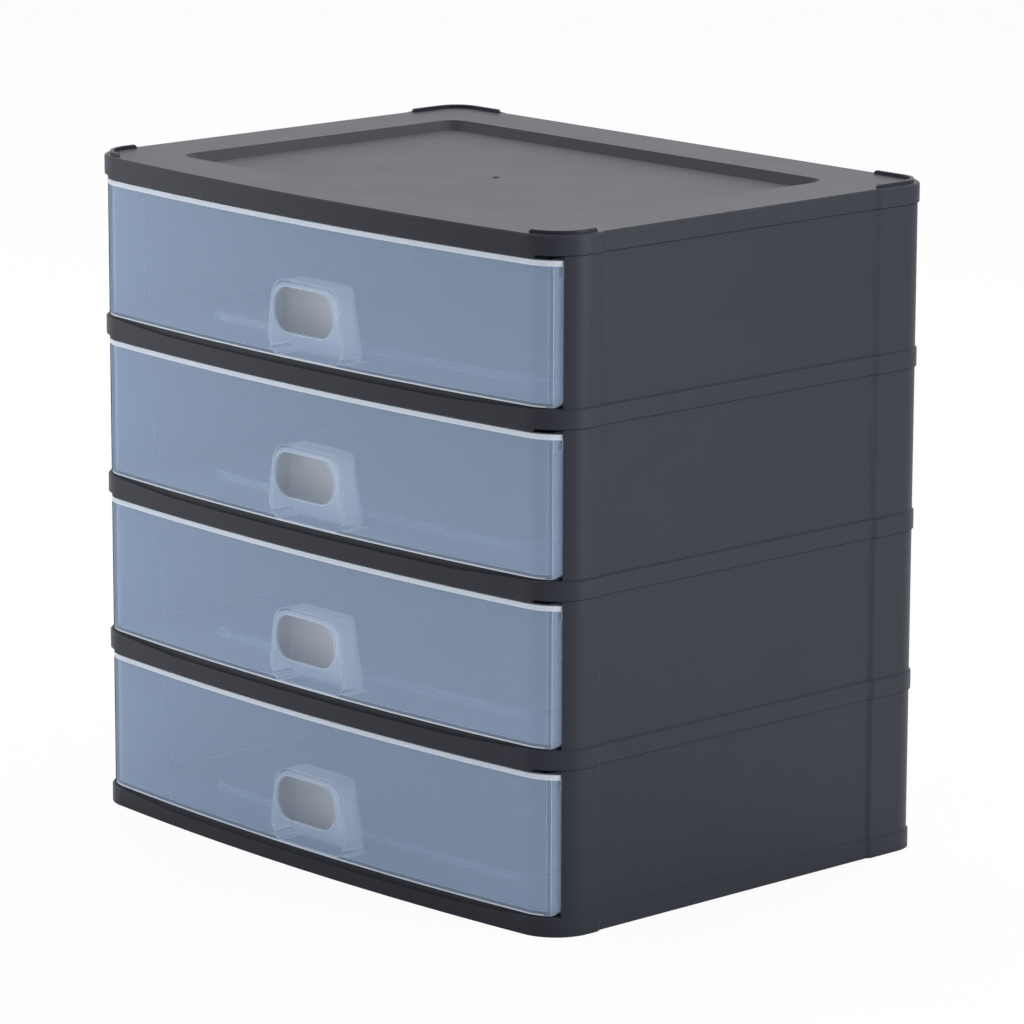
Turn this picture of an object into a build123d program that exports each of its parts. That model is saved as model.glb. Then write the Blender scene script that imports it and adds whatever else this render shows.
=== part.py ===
"""Letter tray stack with four translucent drawers, in millimetres.

The stack is a kit of plastic mouldings. Five shelves of the same plan carry
four tiers of side and back panels between them, and one bowed drawer slides
on the rim of each shelf. +Z is up, the front faces -Y, and the origin is on
the ground under the middle of the stack.
"""

import os
from math import sqrt

from build123d import *

# Overall size
WIDTH = 400.0  # across the shelves at the corner posts
DEPTH = 300.0  # from the crown of the bowed front to the back
BOW = 11.0  # how far the front swells between its corners
FRONT_RADIUS = 26.0  # plan radius of the front corners
REAR_RADIUS = 19.5  # plan radius of the rear corners
TIERS = 4
TIER_PITCH = 94.25  # from one shelf to the next
BAND = 11.0  # height of a shelf's edge

# Shelves
CORNER = 42.0  # reach of each corner post from the outside of the stack
RELIEF = 1.5  # faces between the posts stand back this far
RAMP = 3.0  # length of the slope from a post down to the relieved face
SKIRT = 2.4  # thickness of a shelf's edge
PLATE = 2.2  # thickness of a shelf's top
SINK = 5.5  # depth of the sunken middle of a shelf
SINK_RADIUS = 12.0
BAND_EDGE = 0.8  # chamfer of a shelf's outer top edge
LIP_HEIGHT = 2.0  # locating lips on top of a shelf's corners
LIP_DROP = 1.5  # the lips below a shelf reach this far into the posts
LIP_WALL = 2.0
LIP_TAPER = 1.4  # the lips' ends are cut back at the top
TOP_LIP_FRONT = 25.0  # reach of the top cover's front lips along the front
RIB_LENGTH = 40.0  # ribs that keep the panels from falling inwards
RIB_HEIGHT = 1.5
RIB_WALL = 1.6
STEP = 3.0  # a shelf's front edge is stepped down this far before its drawer
STEP_FULL = 120.0  # the step is level this far from the middle, then runs out
STEP_END = 190.0
STEP_WALL = 2.0  # thickness behind the step
HANG = 1.8  # the front edge hangs this far below a shelf, over the drawer's rim
HANG_END = 14.0  # from the mouth to the ends of the hanging edge

# Side and back panels
REVEAL = 1.0  # panels stand in from the shelves' edges
WALL = 2.2
FIT = 0.2  # clearance of lips, ribs and tongues in the panels
POST_FACE = 5.8  # width of a front post's face beside the drawers
FLANGE = 32.0  # the mouth's inner flange ends this far behind the crown
TONGUE = 5.0  # lap of a back panel behind the rear posts
EDGE_CHAMFER = 0.6

# Drawers
SETBACK = 2.3  # the drawer's face stands behind the shelf's edge
GLIDE = 0.4  # running clearance under a drawer
HEADROOM = 3.0  # gap between a drawer and the shelf above
DRAWER_WALL = 2.0
FRONT_GAP = 1.0  # from the end of a drawer's front to the post
WING = 5.2  # the front reaches this far past the tub on each side
TUB_GAP = 8.0  # from the drawer's back to the back of the stack
TUB_RADIUS = 10.0
FRONT_CHAMFER = 3.5  # cut lower corners of the front
BEAD_HEIGHT = 2.7  # thickened top edge of the front
BEAD_PROUD = 0.5
BEAD_IN = 0.7
RUNNER_GAP = 2.7  # from the turned-down runner to the mouth's inner flange
RUNNER_DROP = 9.5
RUNNER_WALL = 1.5
STOP_BACK = 44.5  # front faces of the runners' stop lugs, from the drawer's back
STOP_LENGTH = 5.0
STOP_GAP = 0.4  # from the stop lugs to the side panels
FIELD_SIDE = 51.0  # raised field of the floor, from the tub's outside
FIELD_FRONT = 42.0
FIELD_REAR = 42.0
FIELD_RADIUS = 14.0
FIELD_STEP = 4.0
FIELD_SLOPE = 1.0

# Finger pull: an arched hood behind the front, open below, with a hole in it
ARCH_SIDE = 2.0  # from the hole to the outside of the arch, at its top
ARCH_CROWN = 3.3  # from the hole to the top of the arch
ARCH_SPLAY = 6.4  # each foot stands out this far from the top of its side
ARCH_RADIUS = 12.0
HOOD_DEPTH_LOW = 19.5
HOOD_DEPTH_HIGH = 17.0
HOOD_RADIUS = 7.0
HOLE_WIDTH = 51.8
HOLE_HEIGHT = 26.0
HOLE_RADIUS = 12.0
HOLE_CENTRE = 27.5  # height of the hole's middle above the drawer's underside

# Worked out from the sizes above
FRONT_Y = -DEPTH / 2
BACK_Y = DEPTH / 2
BOW_RADIUS = ((WIDTH / 2) ** 2 + BOW**2) / (2 * BOW)
POST_X = WIDTH / 2 - CORNER
POST_Y = DEPTH / 2 - CORNER
PANEL_HEIGHT = TIER_PITCH - BAND
DRAWER_HEIGHT = PANEL_HEIGHT - GLIDE - HEADROOM
MOUTH = WIDTH / 2 - POST_FACE
FRONT_HALF = MOUTH - FRONT_GAP
TUB_HALF = FRONT_HALF - WING
TUB_BACK = BACK_Y - TUB_GAP
RUNNER_FACE = MOUTH - RUNNER_GAP
STOP_FACE = WIDTH / 2 - REVEAL - RELIEF - WALL - STOP_GAP
STOP_Y = TUB_BACK - STOP_BACK
ARCH_SHOULDER = HOLE_WIDTH / 2 + ARCH_SIDE
ARCH_FOOT = ARCH_SHOULDER + ARCH_SPLAY
ARCH_HEIGHT = HOLE_CENTRE + HOLE_HEIGHT / 2 + ARCH_CROWN
FACE_Y = FRONT_Y + SETBACK
LIP_INSET = REVEAL + WALL + FIT
FAR = WIDTH + DEPTH  # longer than anything here, for cutting regions

os.makedirs("parts", exist_ok=True)


def bowed(half, inset, rear, front_radius, rear_radius):
    """Face with a front parallel to the bow, inset from it, and straight sides and back."""
    radius = BOW_RADIUS - inset
    corner_y = FRONT_Y + BOW_RADIUS - sqrt(radius**2 - half**2)
    with BuildSketch() as face:
        with BuildLine():
            ThreePointArc((-half, corner_y), (0, FRONT_Y + inset), (half, corner_y))
            Polyline((half, corner_y), (half, rear), (-half, rear), (-half, corner_y))
        make_face()
        if front_radius > 0:
            fillet(face.vertices().group_by(Axis.Y)[0], front_radius)
        if rear_radius > 0:
            fillet(face.vertices().group_by(Axis.Y)[-1], rear_radius)
    return face.sketch


def plan(inset):
    """Plan of the stack, drawn in by inset on every side."""
    return bowed(
        WIDTH / 2 - inset,
        inset,
        BACK_Y - inset,
        FRONT_RADIUS - inset,
        REAR_RADIUS - inset,
    )


def relieved(inset):
    """Plan of the stack with the faces between the posts set back by the relief."""
    side = WIDTH / 2 - inset
    back = BACK_Y - inset
    with BuildSketch() as face:
        add(plan(inset))
        for hand in (-1, 1):
            with BuildLine():
                Polyline(
                    (hand * (side + RELIEF), POST_Y),
                    (hand * side, POST_Y),
                    (hand * (side - RELIEF), POST_Y - RAMP),
                    (hand * (side - RELIEF), RAMP - POST_Y),
                    (hand * side, -POST_Y),
                    (hand * (side + RELIEF), -POST_Y),
                    close=True,
                )
            make_face(mode=Mode.SUBTRACT)
        with BuildLine():
            Polyline(
                (POST_X, back + RELIEF),
                (POST_X, back),
                (POST_X - RAMP, back - RELIEF),
                (RAMP - POST_X, back - RELIEF),
                (-POST_X, back),
                (-POST_X, back + RELIEF),
                close=True,
            )
        make_face(mode=Mode.SUBTRACT)
    return face.sketch


def corner_lips(front_x, front_y, rear_x):
    """Ribs that follow the corners just inside the posts' skins.

    The front pair keeps outside front_x and behind front_y, the rear pair outside rear_x.
    """
    with BuildSketch() as lips:
        add(plan(LIP_INSET))
        add(plan(LIP_INSET + LIP_WALL), mode=Mode.SUBTRACT)
        with BuildSketch(mode=Mode.INTERSECT):
            for hand in (-1, 1):
                with BuildLine():
                    Polyline(
                        (hand * front_x, front_y),
                        (hand * FAR, front_y),
                        (hand * FAR, -POST_Y),
                        (hand * front_x, -POST_Y),
                        close=True,
                    )
                make_face()
                with BuildLine():
                    Polyline(
                        (hand * rear_x, POST_Y),
                        (hand * FAR, POST_Y),
                        (hand * FAR, FAR),
                        (hand * rear_x, FAR),
                        close=True,
                    )
                make_face()
    return lips.sketch


def panel_ribs():
    """Short ribs that stand just inside the side and back panels."""
    side_x = WIDTH / 2 - REVEAL - RELIEF - WALL - FIT - RIB_WALL / 2
    back_y = BACK_Y - REVEAL - RELIEF - WALL - FIT - RIB_WALL / 2
    with BuildSketch() as ribs:
        for y in (-POST_Y / 2, POST_Y / 2):
            with Locations((-side_x, y), (side_x, y)):
                Rectangle(RIB_WALL, RIB_LENGTH)
        for x in (-POST_X / 2, POST_X / 2):
            with Locations((x, back_y)):
                Rectangle(RIB_LENGTH, RIB_WALL)
    return ribs.sketch


def shelf(base, lips, ribs, feet):
    """One shelf moulding whose edge starts at height base.

    The lips and ribs stand on top of it, and the feet hang into the posts below.
    """
    top = base + BAND
    slope = PLATE * sqrt(2)
    with BuildPart() as tray:
        with BuildSketch(Plane.XY.offset(base)):
            add(relieved(0))
        extrude(amount=BAND)
        chamfer(tray.edges().group_by(Axis.Z)[-1], BAND_EDGE)
        # hollow underside
        with BuildSketch(Plane.XY.offset(base)):
            add(relieved(SKIRT))
        extrude(amount=BAND - PLATE, mode=Mode.SUBTRACT)
        # underside of the sunken middle, then the sunken middle itself
        for low in (SINK + PLATE, PLATE):
            with BuildSketch(Plane.XY.offset(top - low)):
                RectangleRounded(
                    2 * (POST_X - low + slope),
                    2 * (POST_Y - low + slope),
                    SINK_RADIUS - low + slope,
                )
        loft(ruled=True)
        for low in (SINK, 0):
            with BuildSketch(Plane.XY.offset(top - low)):
                RectangleRounded(2 * (POST_X - low), 2 * (POST_Y - low), SINK_RADIUS - low)
        loft(ruled=True, mode=Mode.SUBTRACT)
        with BuildSketch(Plane.XY.offset(top)):
            add(lips)
        extrude(amount=LIP_HEIGHT)
        rims = tray.edges().group_by(Axis.Z)[-1].filter_by(GeomType.LINE)
        chamfer(rims.filter_by(lambda edge: edge.length < 2 * LIP_WALL), LIP_TAPER)
        if ribs is not None:
            with BuildSketch(Plane.XY.offset(top)):
                add(ribs)
            extrude(amount=RIB_HEIGHT)
        if feet is not None:
            with BuildSketch(Plane.XY.offset(base - LIP_DROP)):
                add(feet)
            extrude(amount=BAND - PLATE + LIP_DROP)
            # the front edge hangs a little lower over the drawer below
            with BuildSketch(Plane.XY.offset(base - HANG)):
                add(front_strip(0, SKIRT, MOUTH - HANG_END))
            extrude(amount=HANG)
        if ribs is not None:
            # the front edge is stepped down before the drawer above
            with BuildSketch(Plane.XY.offset(top - STEP - STEP_WALL)):
                add(front_strip(SKIRT / 2, SETBACK + STEP_WALL, STEP_END))
            extrude(amount=STEP + STEP_WALL - PLATE / 2)
            with BuildPart(mode=Mode.SUBTRACT):
                with BuildSketch(Plane.XY.offset(top - STEP)):
                    add(front_strip(-1, SETBACK, STEP_END))
                extrude(amount=2 * STEP)
                with BuildSketch(Plane.XZ):
                    with BuildLine():
                        Polyline(
                            (-STEP_END, top + 3 * STEP),
                            (-STEP_END, top),
                            (-STEP_FULL, top - STEP),
                            (STEP_FULL, top - STEP),
                            (STEP_END, top),
                            (STEP_END, top + 3 * STEP),
                            close=True,
                        )
                    make_face()
                extrude(amount=FAR, mode=Mode.INTERSECT)
    return tray.part


def front_strip(outer, inner, half):
    """Plan of a strip along the bowed front between two insets, half wide on each side."""
    with BuildSketch() as strip:
        add(plan(outer))
        add(plan(inner), mode=Mode.SUBTRACT)
        with BuildLine():
            Polyline((-half, -FAR), (half, -FAR), (half, 0), (-half, 0), close=True)
        make_face(mode=Mode.INTERSECT)
    return strip.sketch


def side_profile(hand):
    """Section of a side panel with its two posts: hand is 1 on the right, -1 on the left."""
    with BuildSketch() as section:
        add(relieved(REVEAL))
        add(relieved(REVEAL + WALL), mode=Mode.SUBTRACT)
        with BuildLine():
            Polyline(
                (hand * MOUTH, -FAR),
                (hand * FAR, -FAR),
                (hand * FAR, FAR),
                (hand * POST_X, FAR),
                (hand * POST_X, 0),
                (hand * MOUTH, 0),
                close=True,
            )
        make_face(mode=Mode.INTERSECT)
        add(mouth_flange(hand))
    return section.sketch


def mouth_flange(hand):
    """The front post's inner flange, beside the drawer."""
    with BuildSketch() as flange:
        add(plan(REVEAL))
        with BuildLine():
            Polyline(
                (hand * MOUTH, -FAR),
                (hand * (MOUTH + WALL), -FAR),
                (hand * (MOUTH + WALL), FRONT_Y + FLANGE),
                (hand * MOUTH, FRONT_Y + FLANGE),
                close=True,
            )
        make_face(mode=Mode.INTERSECT)
    return flange.sketch


def back_profile():
    """Section of a back panel with a tongue at each end behind the rear posts."""
    outer = BACK_Y - REVEAL - RELIEF
    lap = BACK_Y - REVEAL - WALL - FIT
    with BuildSketch() as section:
        with BuildLine():
            Polyline(
                (POST_X - RAMP, outer),
                (POST_X - RAMP, lap),
                (POST_X + TONGUE, lap),
                (POST_X + TONGUE, outer - WALL),
                (-POST_X - TONGUE, outer - WALL),
                (-POST_X - TONGUE, lap),
                (RAMP - POST_X, lap),
                (RAMP - POST_X, outer),
                close=True,
            )
        make_face()
    return section.sketch


def panel(section, base):
    """An upright panel of the given section that stands on the shelf whose top is at base."""
    with BuildPart() as upright:
        with BuildSketch(Plane.XY.offset(base)):
            add(section)
        extrude(amount=PANEL_HEIGHT)
        chamfer(upright.edges().group_by(Axis.Z)[-1], EDGE_CHAMFER)
    return upright.part


def arch(shrink, foot_z):
    """Outline of the hood seen from the front, drawn in by shrink, with its feet at foot_z."""
    splay = (ARCH_FOOT - ARCH_SHOULDER) / ARCH_HEIGHT
    crown = ARCH_HEIGHT - shrink
    foot = ARCH_FOOT - shrink - splay * foot_z
    shoulder = ARCH_FOOT - shrink - splay * crown
    with BuildSketch(Plane.XZ) as outline:
        with BuildLine():
            Polyline(
                (-foot, foot_z),
                (-shoulder, crown),
                (shoulder, crown),
                (foot, foot_z),
                close=True,
            )
        make_face()
        fillet(outline.vertices().group_by(Axis.Z)[-1], ARCH_RADIUS - shrink)
    return outline.sketch


def hood(shrink, front, foot_z):
    """The arched hood's volume behind the front, drawn in by shrink on every side."""
    splay = (ARCH_FOOT - ARCH_SHOULDER) / ARCH_HEIGHT
    lean = (HOOD_DEPTH_LOW - HOOD_DEPTH_HIGH) / ARCH_HEIGHT
    rear = FACE_Y + HOOD_DEPTH_LOW - shrink
    radius = HOOD_RADIUS - shrink
    start = foot_z - 1
    with BuildPart() as block:
        with BuildSketch(Plane.XZ.offset(-front)):
            add(arch(shrink, foot_z))
        extrude(amount=-HOOD_DEPTH_LOW)
        # the back leans forward
        with BuildSketch(Plane.YZ):
            with BuildLine():
                Polyline(
                    (rear - lean * start, start),
                    (rear - lean * 2 * ARCH_HEIGHT, 2 * ARCH_HEIGHT),
                    (rear + HOOD_DEPTH_LOW, 2 * ARCH_HEIGHT),
                    (rear + HOOD_DEPTH_LOW, start),
                    close=True,
                )
            make_face()
        extrude(amount=2 * ARCH_FOOT, both=True, mode=Mode.SUBTRACT)
        # rounded corners between the back and the splayed sides
        for hand in (-1, 1):
            corner_x = hand * (ARCH_FOOT - shrink - splay * start)
            corner_y = rear - lean * start
            centre_x = corner_x - hand * radius
            centre_y = corner_y - radius
            with BuildSketch(Plane.XY.offset(start)):
                with BuildLine():
                    ThreePointArc(
                        (corner_x, centre_y),
                        (centre_x + hand * radius * sqrt(0.5), centre_y + radius * sqrt(0.5)),
                        (centre_x, corner_y),
                    )
                    Polyline(
                        (centre_x, corner_y),
                        (centre_x, corner_y + radius),
                        (corner_x + hand * radius, corner_y + radius),
                        (corner_x + hand * radius, centre_y),
                        (corner_x, centre_y),
                    )
                make_face()
            extrude(amount=2 * ARCH_HEIGHT, dir=(-hand * splay, -lean, 1), mode=Mode.SUBTRACT)
    return block.part


def drawer():
    """One drawer, moulded in one piece, with its underside at height 0."""
    plate = bowed(FRONT_HALF, SETBACK, 0, 0, 0)
    with BuildPart() as tub:
        with BuildSketch():
            add(tub_plan(0))
        extrude(amount=DRAWER_HEIGHT)
        with BuildSketch(Plane.XY.offset(DRAWER_WALL)):
            add(tub_plan(DRAWER_WALL))
        extrude(amount=DRAWER_HEIGHT, mode=Mode.SUBTRACT)
        # the front reaches past the tub on both sides and follows the corners
        with BuildSketch():
            add(plan(SETBACK))
            add(plate, mode=Mode.INTERSECT)
            add(plan(SETBACK + DRAWER_WALL), mode=Mode.SUBTRACT)
        extrude(amount=DRAWER_HEIGHT)
        # thickened top edge
        with BuildSketch(Plane.XY.offset(DRAWER_HEIGHT - BEAD_HEIGHT)):
            add(plan(SETBACK - BEAD_PROUD))
            with BuildLine():
                Polyline(
                    (-FRONT_HALF, -FAR),
                    (FRONT_HALF, -FAR),
                    (FRONT_HALF, 0),
                    (-FRONT_HALF, 0),
                    close=True,
                )
            make_face(mode=Mode.INTERSECT)
            add(plan(SETBACK + DRAWER_WALL + BEAD_IN), mode=Mode.SUBTRACT)
        extrude(amount=BEAD_HEIGHT)
        # lower corners of the front are cut away
        with BuildSketch(Plane.XZ):
            for hand in (-1, 1):
                with BuildLine():
                    Polyline(
                        (hand * (FRONT_HALF + 1), 0),
                        (hand * (FRONT_HALF + 1), FRONT_CHAMFER + 1),
                        (hand * (FRONT_HALF - FRONT_CHAMFER - 1), -1),
                        (hand * (FRONT_HALF + 1), -1),
                        close=True,
                    )
                make_face()
        extrude(amount=FAR, mode=Mode.SUBTRACT)
        # turned-down runners with a stop lug near the back of each
        for hand in (-1, 1):
            with BuildSketch(Plane.XY.offset(DRAWER_HEIGHT - DRAWER_WALL)):
                add(runner_plan(hand, TUB_HALF - DRAWER_WALL / 2))
            extrude(amount=DRAWER_WALL)
            with BuildSketch(Plane.XY.offset(DRAWER_HEIGHT - RUNNER_DROP)):
                add(runner_plan(hand, RUNNER_FACE - RUNNER_WALL))
                with Locations((hand * (RUNNER_FACE + STOP_FACE) / 2, STOP_Y + STOP_LENGTH / 2)):
                    Rectangle(STOP_FACE - RUNNER_FACE, STOP_LENGTH)
            extrude(amount=RUNNER_DROP)
        # raised field that stiffens the floor
        for height, grow in ((0, 0), (FIELD_STEP, -FIELD_SLOPE)):
            with BuildSketch(Plane.XY.offset(height)):
                add(field(grow))
        loft(ruled=True, mode=Mode.SUBTRACT)
        for height, grow in ((0, DRAWER_WALL), (FIELD_STEP + DRAWER_WALL, DRAWER_WALL - FIELD_SLOPE)):
            with BuildSketch(Plane.XY.offset(height)):
                add(field(grow))
        loft(ruled=True)
        for height, grow in ((0, 0), (FIELD_STEP, -FIELD_SLOPE)):
            with BuildSketch(Plane.XY.offset(height)):
                add(field(grow))
        loft(ruled=True, mode=Mode.SUBTRACT)
        # finger pull
        add(hood(0, FACE_Y + DRAWER_WALL / 2, 0))
        add(hood(DRAWER_WALL, FACE_Y + DRAWER_WALL, -1), mode=Mode.SUBTRACT)
        with BuildSketch(Plane.XZ.offset(-FACE_Y - DRAWER_WALL * 1.5)):
            with Locations((0, HOLE_CENTRE)):
                RectangleRounded(HOLE_WIDTH, HOLE_HEIGHT, min(HOLE_RADIUS, HOLE_HEIGHT / 2 - 0.5))
        extrude(amount=DRAWER_WALL * 3, mode=Mode.SUBTRACT)
    return tub.part


def tub_plan(shrink):
    """Plan of the drawer's tub, drawn in by shrink."""
    with BuildSketch() as face:
        add(plan(SETBACK + shrink))
        with BuildLine():
            Polyline(
                (shrink - TUB_HALF, -FAR),
                (TUB_HALF - shrink, -FAR),
                (TUB_HALF - shrink, TUB_BACK - shrink),
                (shrink - TUB_HALF, TUB_BACK - shrink),
                close=True,
            )
        make_face(mode=Mode.INTERSECT)
        fillet(face.vertices().group_by(Axis.Y)[-1], TUB_RADIUS - shrink)
    return face.sketch


def runner_plan(hand, inner):
    """Plan of a strip along the drawer's side, from inner out to the runner's face."""
    with BuildSketch() as strip:
        add(plan(SETBACK + DRAWER_WALL / 2))
        with BuildLine():
            Polyline(
                (hand * inner, -FAR),
                (hand * RUNNER_FACE, -FAR),
                (hand * RUNNER_FACE, TUB_BACK - TUB_RADIUS),
                (hand * inner, TUB_BACK - TUB_RADIUS),
                close=True,
            )
        make_face(mode=Mode.INTERSECT)
    return strip.sketch


def field(grow):
    """Plan of the raised field of the floor, let out by grow."""
    return bowed(
        TUB_HALF - FIELD_SIDE + grow,
        FIELD_FRONT - grow,
        TUB_BACK - FIELD_REAR + grow,
        FIELD_RADIUS + grow,
        FIELD_RADIUS + grow,
    )


def write(node, shape):
    """Label a finished piece and write it under its own name."""
    shape.label = node
    export_step(shape, f"parts/{node}.step")


post_lips = corner_lips(MOUTH, FRONT_Y + FLANGE + FIT, POST_X + TONGUE + FIT)
cover_lips = corner_lips(WIDTH / 2 - TOP_LIP_FRONT, -FAR, POST_X)
ribs = panel_ribs()
left_section = side_profile(-1)
right_section = side_profile(1)
back_section = back_profile()

write("base_shelf", shelf(0, post_lips, ribs, None))
for level in range(1, TIERS):
    write(f"middle_shelf_{level}", shelf(level * TIER_PITCH, post_lips, ribs, post_lips))
write("top_cover", shelf(TIERS * TIER_PITCH, cover_lips, None, post_lips))

one_drawer = drawer()
for level in range(1, TIERS + 1):
    floor = (level - 1) * TIER_PITCH + BAND
    write(f"side_panel_left_{level}", panel(left_section, floor))
    write(f"side_panel_right_{level}", panel(right_section, floor))
    write(f"back_panel_{level}", panel(back_section, floor))
    with BuildPart() as placed:
        with Locations((0, 0, floor + GLIDE)):
            add(one_drawer)
    write(f"drawer_{level}", placed.part)
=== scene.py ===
# %% [markdown]
# # A desk tower of translucent drawers
# The carcass is charcoal polypropylene, moulded in a steel tool whose faces were
# eroded to a fine matte texture. The drawers are natural polypropylene with a
# little blue-grey in it, so light goes through them, and their edges glow.
# The solids come from the CAD model. Here they get their plastics, and the small
# round scar in the middle of the cover, where the plastic was fed into the tool.

import math

import bpy
from mathutils import Matrix, Vector


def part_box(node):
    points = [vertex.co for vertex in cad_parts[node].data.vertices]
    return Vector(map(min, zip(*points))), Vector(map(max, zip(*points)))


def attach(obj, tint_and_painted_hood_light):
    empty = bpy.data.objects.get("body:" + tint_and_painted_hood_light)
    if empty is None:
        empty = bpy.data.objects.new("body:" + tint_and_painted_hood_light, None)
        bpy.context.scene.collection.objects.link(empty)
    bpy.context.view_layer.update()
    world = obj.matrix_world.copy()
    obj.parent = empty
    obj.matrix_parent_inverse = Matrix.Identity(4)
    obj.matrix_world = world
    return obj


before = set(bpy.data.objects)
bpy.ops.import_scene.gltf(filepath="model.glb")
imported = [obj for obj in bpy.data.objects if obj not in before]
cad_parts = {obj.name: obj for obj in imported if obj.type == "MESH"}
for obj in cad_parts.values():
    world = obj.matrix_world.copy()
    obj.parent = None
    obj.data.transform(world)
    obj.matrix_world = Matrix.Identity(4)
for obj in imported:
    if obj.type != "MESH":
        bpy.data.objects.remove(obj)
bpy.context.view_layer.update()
cabinet_nodes = sorted(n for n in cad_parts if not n.startswith("drawer"))
drawer_nodes = sorted(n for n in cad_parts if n.startswith("drawer"))
print("carcass mouldings:", len(cabinet_nodes), "drawers:", len(drawer_nodes))

# %% [markdown]
# ## Colours
# Colours are written as the hex values that a paint or plastic chart gives.
# Shaders count in linear light, so one function turns the first into the second.

# %% Hex to linear colour
def linear(hex_colour):
    channels = [int(hex_colour[i : i + 2], 16) / 255 for i in (1, 3, 5)]
    light = [c / 12.92 if c <= 0.04045 else ((c + 0.055) / 1.055) ** 2.4 for c in channels]
    return light + [1.0]


# %% One helper adds a node, its settings and its links
def add_node(tree, kind, settings=None, inputs=None):
    node = tree.nodes.new(kind)
    for name, value in (settings or {}).items():
        setattr(node, name, value)
    for name, value in (inputs or {}).items():
        socket = node.inputs[name]
        if isinstance(value, bpy.types.NodeSocket):
            tree.links.new(value, socket)
        else:
            socket.default_value = value
    return node


# %% A new material, and a new object in the scene
def new_material(name):
    material = bpy.data.materials.new(name)
    material.use_nodes = True
    material.node_tree.nodes.clear()
    return material, material.node_tree


def new_object(name, data):
    thing = bpy.data.objects.new(name, data)
    bpy.context.scene.collection.objects.link(thing)
    return thing


# %% [markdown]
# ## Charcoal polypropylene, spark-eroded
# The tool's faces were eroded by sparks, which leaves craters about 0.3 mm wide.
# They scatter the light, so the plastic looks matte and mirrors almost nothing,
# and faintly cloudy where the flow of the plastic was slower.
#
# A picture of the grain could be wrapped round each moulding, but noise in the
# moulding's own coordinates needs no unwrapping and keeps one size everywhere.
# Fine noise is the bump of the craters. A pixel covers 0.6 mm of the tower, so
# they are drawn about 1 mm wide to show. Coarse noise, about 36 mm wide, makes
# the clouds: it varies the roughness and, very slightly, the colour.

# %% Carcass plastic
GRAINS_PER_METRE = 900.0
GRAIN_DEPTH = 0.0003
CLOUDS_PER_METRE = 28.0


def spark_eroded_polypropylene():
    material, tree = new_material("polypropylene_charcoal_spark_eroded")
    place = add_node(tree, "ShaderNodeTexCoord")
    grain = add_node(tree, "ShaderNodeTexNoise", inputs={
        "Vector": place.outputs["Object"], "Scale": GRAINS_PER_METRE,
        "Detail": 3.0, "Roughness": 0.6})
    clouds = add_node(tree, "ShaderNodeTexNoise", inputs={
        "Vector": place.outputs["Object"], "Scale": CLOUDS_PER_METRE,
        "Detail": 6.0, "Roughness": 0.68})
    colour = add_node(tree, "ShaderNodeMix", {"data_type": "RGBA"}, {
        0: clouds.outputs["Fac"], 6: linear("#2c2d35"), 7: linear("#31323b")})
    rough = add_node(tree, "ShaderNodeMapRange", inputs={
        "Value": clouds.outputs["Fac"], "From Min": 0.3, "From Max": 0.7,
        "To Min": 0.44, "To Max": 0.40})
    bump = add_node(tree, "ShaderNodeBump", inputs={
        "Height": grain.outputs["Fac"], "Strength": 0.35, "Distance": GRAIN_DEPTH})
    plastic = add_node(tree, "ShaderNodeBsdfPrincipled", inputs={
        "Base Color": colour.outputs[2], "Roughness": rough.outputs["Result"],
        "IOR": 1.49, "Specular IOR Level": 0.17, "Normal": bump.outputs["Normal"]})
    add_node(tree, "ShaderNodeOutputMaterial", inputs={"Surface": plastic.outputs["BSDF"]})
    return material


carcass_plastic = spark_eroded_polypropylene()
print("carcass plastic:", carcass_plastic.name)

# %% [markdown]
# ## Translucent polypropylene
# Natural polypropylene is milky: the light goes through it and is scattered on
# the way. From outside it is a blue-grey veil with a soft gloss, and what is
# behind it shows faintly. The scattering inside the wall could be traced, but in
# walls of two millimetres that is slow and grainy. Here a part of each ray passes
# straight on, and the rest is scattered at the surface.
#
# Light that travels inside a wall comes out at its edges, so the rim, the foot of
# the front and every sharp edge look nearly white. Here that glow is painted: masks
# make these places paler and less clear. They could be strips of their own, but
# masks leave the solid as it is. The first mask compares the true normal
# with one that is rounded over a millimetre, and they differ only beside an edge.
# The others find the rim, the floor's front edge and the hood's root by their
# place: the drawers are alike, so a height is counted from a hair below each
# drawer, and a depth from the bowed face. The hood, seen through two walls and
# lit near the front, is painted paler and less clear as well: painted light.

# %% Sizes of the drawer that the masks follow, in metres
TIER_PITCH = 0.09425
DRAWER_BOTTOM = 0.0114
FACE_CROWN = -0.1477
BOW_RADIUS = 1.8237
RIM_FOOT = 0.0771
FOOT_HEIGHT = 0.0009
FRONT_WALL = 0.002
HOOD_HALF = 0.0345
HOOD_DEPTH = 0.0200
HOOD_HEIGHT = 0.0440
ROOT = 0.0014
HAIR = 0.0004

# %% The share of each ray that the plastic scatters, with painted glow at its edges and painted light in the hood
FRONT_VEIL = 0.30
HOOD_PAINTED_LIGHT_VEIL = 0.5
EDGE_PAINTED_GLOW_VEIL = 0.92
THICK_PAINTED_GLOW = 0.78
EDGE_REACH = 0.0009
RIPPLES_PER_METRE = 45.0


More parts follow.
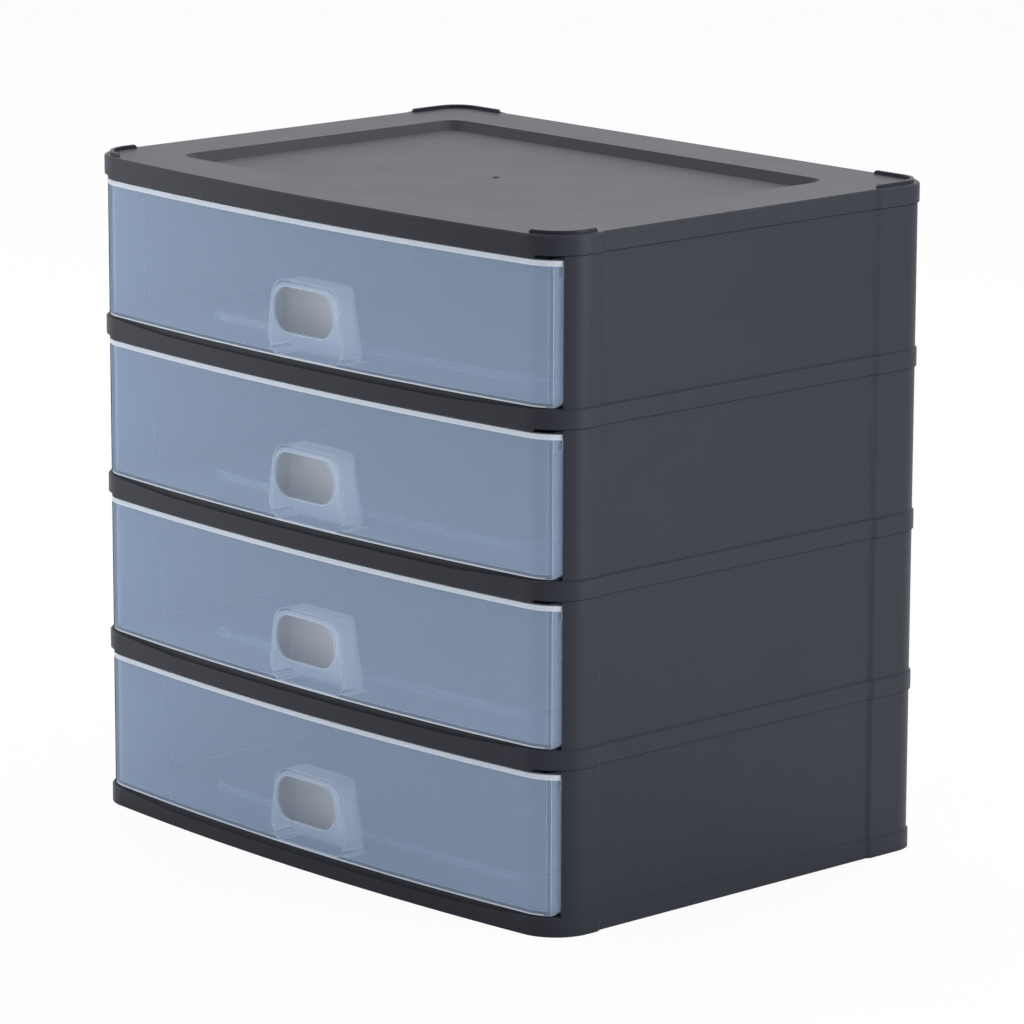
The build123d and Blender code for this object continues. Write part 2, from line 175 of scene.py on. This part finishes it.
# %% Where a point is on its own drawer
def drawer_place(tree):
    place = add_node(tree, "ShaderNodeTexCoord")
    axes = add_node(tree, "ShaderNodeSeparateXYZ", inputs={0: place.outputs["Object"]})
    raised = add_node(tree, "ShaderNodeMath", {"operation": "SUBTRACT"}, {
        0: axes.outputs["Z"], 1: DRAWER_BOTTOM - HAIR})
    height = add_node(tree, "ShaderNodeMath", {"operation": "MODULO"}, {
        0: raised.outputs[0], 1: TIER_PITCH})
    squared = add_node(tree, "ShaderNodeMath", {"operation": "MULTIPLY"}, {
        0: axes.outputs["X"], 1: axes.outputs["X"]})
    swell = add_node(tree, "ShaderNodeMath", {"operation": "DIVIDE"}, {
        0: squared.outputs[0], 1: 2 * BOW_RADIUS})
    behind = add_node(tree, "ShaderNodeMath", {"operation": "SUBTRACT"}, {
        0: axes.outputs["Y"], 1: swell.outputs[0]})
    depth = add_node(tree, "ShaderNodeMath", {"operation": "SUBTRACT"}, {
        0: behind.outputs[0], 1: FACE_CROWN})
    aside = add_node(tree, "ShaderNodeMath", {"operation": "ABSOLUTE"}, {0: axes.outputs["X"]})
    return place.outputs["Object"], height.outputs[0], depth.outputs[0], aside.outputs[0]


# %% A mask that is 1 where every value lies between its own two limits
def inside(tree, *limits):
    mask = 1.0
    for value, low, high in limits:
        half = (high - low) / 2
        within = add_node(tree, "ShaderNodeMath", {"operation": "COMPARE"}, {
            0: value, 1: low + half, 2: half})
        mask = add_node(tree, "ShaderNodeMath", {"operation": "MULTIPLY"}, {
            0: mask, 1: within.outputs[0]}).outputs[0]
    return mask


# %% Drawer plastic
def translucent_polypropylene():
    material, tree = new_material("polypropylene_translucent_smoke")
    place, height, depth, aside = drawer_place(tree)
    ripple = add_node(tree, "ShaderNodeTexNoise", inputs={
        "Vector": place, "Scale": RIPPLES_PER_METRE, "Detail": 2.0, "Roughness": 0.5})
    bump = add_node(tree, "ShaderNodeBump", inputs={
        "Height": ripple.outputs["Fac"], "Strength": 0.04, "Distance": 0.002})
    # painted glow at sharp edges, where light leaving the wall would show
    shape = add_node(tree, "ShaderNodeNewGeometry")
    rounded = add_node(tree, "ShaderNodeBevel", {"samples": 6}, {"Radius": EDGE_REACH})
    facing = add_node(tree, "ShaderNodeVectorMath", {"operation": "DOT_PRODUCT"}, {
        0: rounded.outputs["Normal"], 1: shape.outputs["True Normal"]})
    painted_edge_glow_mask = add_node(tree, "ShaderNodeMapRange", {"interpolation_type": "SMOOTHSTEP"}, {
        "Value": facing.outputs["Value"], "From Min": 0.96, "From Max": 0.8,
        "To Min": 0.0, "To Max": 1.0})
    # painted glow on the rim, and on the floor's edge in the front
    rim = inside(tree, (height, RIM_FOOT, TIER_PITCH))
    foot = inside(tree, (height, -HAIR, FOOT_HEIGHT + HAIR), (depth, -HAIR, FRONT_WALL + HAIR))
    # the hood's walls lean from their steeper draft; painted light makes them paler and less clear
    # than the front
    hood_width = (aside, -HAIR, HOOD_HALF)
    hood_height = (height, 3 * HAIR, HOOD_HEIGHT + HAIR)
    behind_front = FRONT_WALL + HAIR / 2
    hood = inside(tree, hood_width, hood_height, (depth, behind_front, HOOD_DEPTH))
    # where they join the front the plastic is thick, and a painted glow draws a pale line there
    root = inside(tree, hood_width, hood_height, (depth, behind_front, FRONT_WALL + ROOT))
    painted_glow = painted_edge_glow_mask.outputs["Result"]
    # painted glow: the rim, the foot and the root are made nearly as pale as an edge
    for thick in (rim, foot, root):
        glow = add_node(tree, "ShaderNodeMath", {"operation": "MULTIPLY"}, {
            0: thick, 1: THICK_PAINTED_GLOW})
        painted_glow = add_node(tree, "ShaderNodeMath", {"operation": "MAXIMUM"}, {
            0: painted_glow, 1: glow.outputs[0]}).outputs[0]
    # painted light: the hood is less clear than the front
    veil_and_painted_hood_light = add_node(tree, "ShaderNodeMapRange", inputs={
        "Value": hood, "To Min": FRONT_VEIL, "To Max": HOOD_PAINTED_LIGHT_VEIL})
    alpha = add_node(tree, "ShaderNodeMapRange", inputs={
        "Value": painted_glow, "To Min": veil_and_painted_hood_light.outputs["Result"], "To Max": EDGE_PAINTED_GLOW_VEIL})
    # painted light: the hood is a paler blue than the rest of the drawer
    tint_and_painted_hood_light = add_node(tree, "ShaderNodeMix", {"data_type": "RGBA"}, {
        0: hood, 6: linear("#c5ddff"), 7: linear("#eef5ff")})
    # painted glow: edges are mixed towards near white
    colour = add_node(tree, "ShaderNodeMix", {"data_type": "RGBA"}, {
        0: painted_glow, 6: tint_and_painted_hood_light.outputs[2], 7: linear("#f2f6fb")})
    plastic = add_node(tree, "ShaderNodeBsdfPrincipled", inputs={
        "Base Color": colour.outputs[2], "Roughness": 0.3, "IOR": 1.49,
        "Alpha": alpha.outputs["Result"], "Normal": bump.outputs["Normal"]})
    add_node(tree, "ShaderNodeOutputMaterial", inputs={"Surface": plastic.outputs["BSDF"]})
    return material


drawer_plastic = translucent_polypropylene()

for name in cabinet_nodes + drawer_nodes:
    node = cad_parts[name]
    node.data.materials.clear()
    node.data.materials.append(drawer_plastic if name in drawer_nodes else carcass_plastic)
print("drawer plastic:", drawer_plastic.name, "on", ", ".join(drawer_nodes))

# %% [markdown]
# ## The feed scar in the cover
# The plastic entered the cover's tool in the middle of the sunken face. The feed
# broke off there and left a low ring, half sunk in the face. A ready-made torus
# would do, but Geometry Nodes that sweep a round profile along a circle keep the
# ring's radius and its thickness as two named inputs.

# %% Feed scar
SCAR_RADIUS = 0.0017
SCAR_RING = 0.0004
SCAR_PLACE = Vector((0.0, -0.002, 0.3825))
RING_STEPS = 32
PROFILE_STEPS = 10


def swept_ring(radius, thickness, material):
    tree = bpy.data.node_groups.new("feed_scar_ring", "GeometryNodeTree")
    face = tree.interface
    face.new_socket("Geometry", in_out="OUTPUT", socket_type="NodeSocketGeometry")
    for name in ("Ring Radius", "Ring Thickness"):
        face.new_socket(name, in_out="INPUT", socket_type="NodeSocketFloat")
    sizes = add_node(tree, "NodeGroupInput")
    path = add_node(tree, "GeometryNodeCurvePrimitiveCircle", inputs={
        "Resolution": RING_STEPS, "Radius": sizes.outputs["Ring Radius"]})
    profile = add_node(tree, "GeometryNodeCurvePrimitiveCircle", inputs={
        "Resolution": PROFILE_STEPS, "Radius": sizes.outputs["Ring Thickness"]})
    swept = add_node(tree, "GeometryNodeCurveToMesh", inputs={
        "Curve": path.outputs["Curve"], "Profile Curve": profile.outputs["Curve"]})
    real = add_node(tree, "GeometryNodeRealizeInstances", inputs={"Geometry": swept.outputs[0]})
    finished = add_node(tree, "GeometryNodeSetMaterial", inputs={
        "Geometry": real.outputs[0], "Material": material})
    add_node(tree, "NodeGroupOutput", inputs={0: finished.outputs[0]})
    holder = new_object("scar_holder", bpy.data.meshes.new("scar_holder"))
    modifier = holder.modifiers.new("ring", "NODES")
    modifier.node_group = tree
    ids = {item.name: item.identifier for item in face.items_tree if item.in_out == "INPUT"}
    modifier[ids["Ring Radius"]] = radius
    modifier[ids["Ring Thickness"]] = thickness
    evaluated = holder.evaluated_get(bpy.context.evaluated_depsgraph_get())
    shape = bpy.data.meshes.new_from_object(evaluated)
    bpy.data.objects.remove(holder)
    return shape


cover_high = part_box("top_cover")[1]
scar_mesh = swept_ring(SCAR_RADIUS, SCAR_RING, carcass_plastic)
scar_mesh.transform(Matrix.Translation(SCAR_PLACE))
scar = new_object("cover_feed_scar", scar_mesh)
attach(scar, "cabinet")
print("feed scar:", len(scar_mesh.polygons), "faces, on the cover up to", round(cover_high[2], 4))

# %% [markdown]
# ## Camera
# The photograph was taken from the front right and a little above, with a long
# lens from three metres, so the tower's edges stay almost parallel. A camera can
# be turned by eye until the edges agree. Here its angles, distance and lens come
# from a fit to the edges, which is more exact. The fit counted pixels from their
# corners, so the aim is moved by half a pixel.

# %% Camera at the photograph's angle
YAW = math.radians(47.3733)
PITCH = math.radians(12.4988)
ROLL = math.radians(0.1661)
AIM = Vector((0.01914, -0.00586, 0.19006))
DISTANCE = 3.1527
FOCAL_PIXELS = 5471.3
HALF_PIXEL = 0.000288
SENSOR = 36.0
IMAGE = 1024
FARTHEST = 60.0

level = math.cos(PITCH)
back = Vector((math.sin(YAW) * level, -math.cos(YAW) * level, math.sin(PITCH)))
right = Vector((math.cos(YAW), math.sin(YAW), 0.0))
up = back.cross(right)
turned_right = right * math.cos(ROLL) + up * math.sin(ROLL)
turned_up = up * math.cos(ROLL) - right * math.sin(ROLL)
turn = Matrix((turned_right, turned_up, back)).transposed().to_4x4()
stand = AIM + HALF_PIXEL * (up - right) + back * DISTANCE

lens = bpy.data.cameras.new("camera")
lens.sensor_width = SENSOR
lens.lens = FOCAL_PIXELS / IMAGE * SENSOR
lens.clip_end = FARTHEST
camera = new_object("camera", lens)
camera.matrix_world = Matrix.Translation(stand) @ turn
bpy.context.scene.camera = camera
print("camera stands at", [round(c, 3) for c in stand], "with a lens of", round(lens.lens, 1), "mm")

# %% [markdown]
# ## Floor, light and background
# A white floor and soft lamps, as for a catalogue. More light could make the
# floor white, but it would wash out the tower. So the floor glows to the camera
# alone, and keeps a faint shadow under the tower. The lamps are a little blue, as
# daylight is.

# %% Floor
FLOOR_REACH = 14.0
FLOOR_DROP = 0.0002
FLOOR_GLOW = 0.95
PAPER = (0.86, 0.86, 0.86, 1.0)
WHITE = (1, 1, 1, 1)


def white_floor():
    material, tree = new_material("studio_paper_white")
    path = add_node(tree, "ShaderNodeLightPath")
    paper = add_node(tree, "ShaderNodeBsdfDiffuse", inputs={"Color": PAPER})
    glow = add_node(tree, "ShaderNodeEmission", inputs={"Color": WHITE, "Strength": 1.0})
    share = add_node(tree, "ShaderNodeMath", {"operation": "MULTIPLY"}, {
        0: path.outputs["Is Camera Ray"], 1: FLOOR_GLOW})
    mix = add_node(tree, "ShaderNodeMixShader", inputs={
        0: share.outputs[0], 1: paper.outputs[0], 2: glow.outputs[0]})
    add_node(tree, "ShaderNodeOutputMaterial", inputs={"Surface": mix.outputs[0]})
    return material


corners = [(x * FLOOR_REACH, y * FLOOR_REACH, 0) for x, y in ((-1, -1), (1, -1), (1, 1), (-1, 1))]
floor_mesh = bpy.data.meshes.new("floor")
floor_mesh.from_pydata(corners, [], [(0, 1, 2, 3)])
floor_mesh.materials.append(white_floor())
floor = new_object("floor", floor_mesh)
floor.location.z = -FLOOR_DROP

# %% Lamps
DAYLIGHT = (0.93, 0.965, 1.0)


def softbox(name, place, target, size, power):
    data = bpy.data.lights.new(name, "AREA")
    data.shape = "RECTANGLE"
    data.size, data.size_y = size
    data.energy = power
    data.color = DAYLIGHT
    lamp = new_object(name, data)
    lamp.location = place
    lamp.rotation_euler = (Vector(target) - Vector(place)).to_track_quat("-Z", "Y").to_euler()
    lamp.visible_camera = False


softbox("top_softbox", (-0.6, 0.9, 2.2), (0, 0, 0.3), (1.8, 1.8), 36)
softbox("right_softbox", (2.2, 1.1, 0.7), (0, 0, 0.2), (0.7, 1.6), 11)
softbox("corner_strip", (1.06, 0.25, 0.32), (0.18, -0.12, 0.2), (0.2, 0.9), 4)
softbox("left_softbox", (-2.3, -1.1, 0.9), (0, 0, 0.2), (1.3, 1.5), 25)

# %% Background: white where it is seen or mirrored, and dimmer as a light
AMBIENT = 0.55

world = bpy.data.worlds.new("studio")
bpy.context.scene.world = world
world.use_nodes = True
sky = world.node_tree
sky.nodes.clear()
path = add_node(sky, "ShaderNodeLightPath")
seen = 0.0
for ray in ("Is Camera Ray", "Is Transmission Ray", "Is Glossy Ray"):
    seen = add_node(sky, "ShaderNodeMath", {"operation": "MAXIMUM"}, {
        0: seen, 1: path.outputs[ray]}).outputs[0]
strength = add_node(sky, "ShaderNodeMapRange", inputs={
    "Value": seen, "To Min": AMBIENT, "To Max": 1.0})
air = add_node(sky, "ShaderNodeBackground", inputs={
    "Color": WHITE, "Strength": strength.outputs["Result"]})
add_node(sky, "ShaderNodeOutputWorld", inputs={"Surface": air.outputs[0]})
bpy.context.scene.view_settings.view_transform = "Standard"
